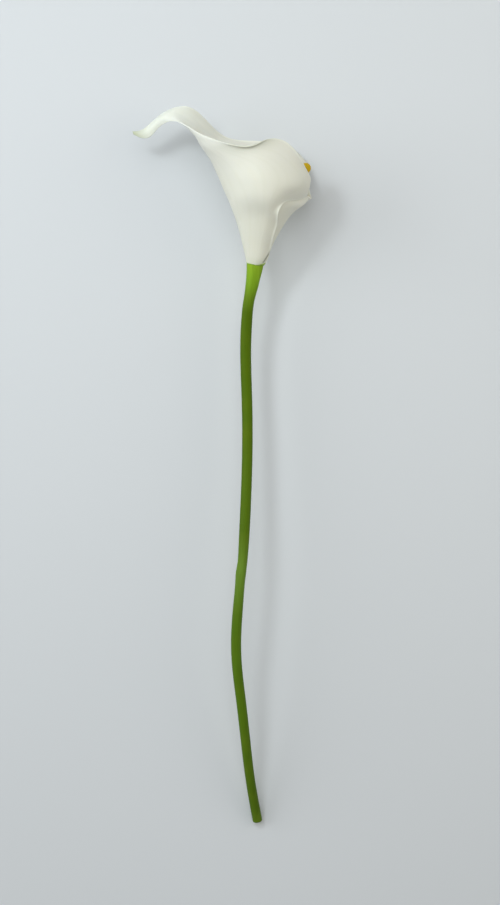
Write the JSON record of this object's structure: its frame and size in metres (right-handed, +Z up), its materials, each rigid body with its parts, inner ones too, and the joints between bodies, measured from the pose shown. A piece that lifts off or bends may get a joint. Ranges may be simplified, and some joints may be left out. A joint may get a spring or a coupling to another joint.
{
  "type": "calla lily flower",
  "caption": "Single calla lily lying on its side: a rolled white spathe that opens into a curled, pointed tip around a yellow spadix, on a bare green cut stem with a flared neck.",
  "frame": {"origin": "under the middle of the flower's bounding box, on the surface it lies on", "axes": "+Y runs along the stem toward the bloom; +Z is up off the surface; +X is the side where the spathe's overlapping front seam lies, and the curled tip points to -X"},
  "size_m": [0.0872, 0.3527, 0.0501],
  "materials": {
    "stem": "smooth, satin green stalk, light green at the neck and dark olive below",
    "spathe": "smooth, soft satin, warm white petal",
    "spadix": "matt, finely bumped yellow"
  },
  "bodies": {
    "root": {"stem": "stem", "spathe": "spathe", "spadix": "spadix"}
  },
  "joints": []
}
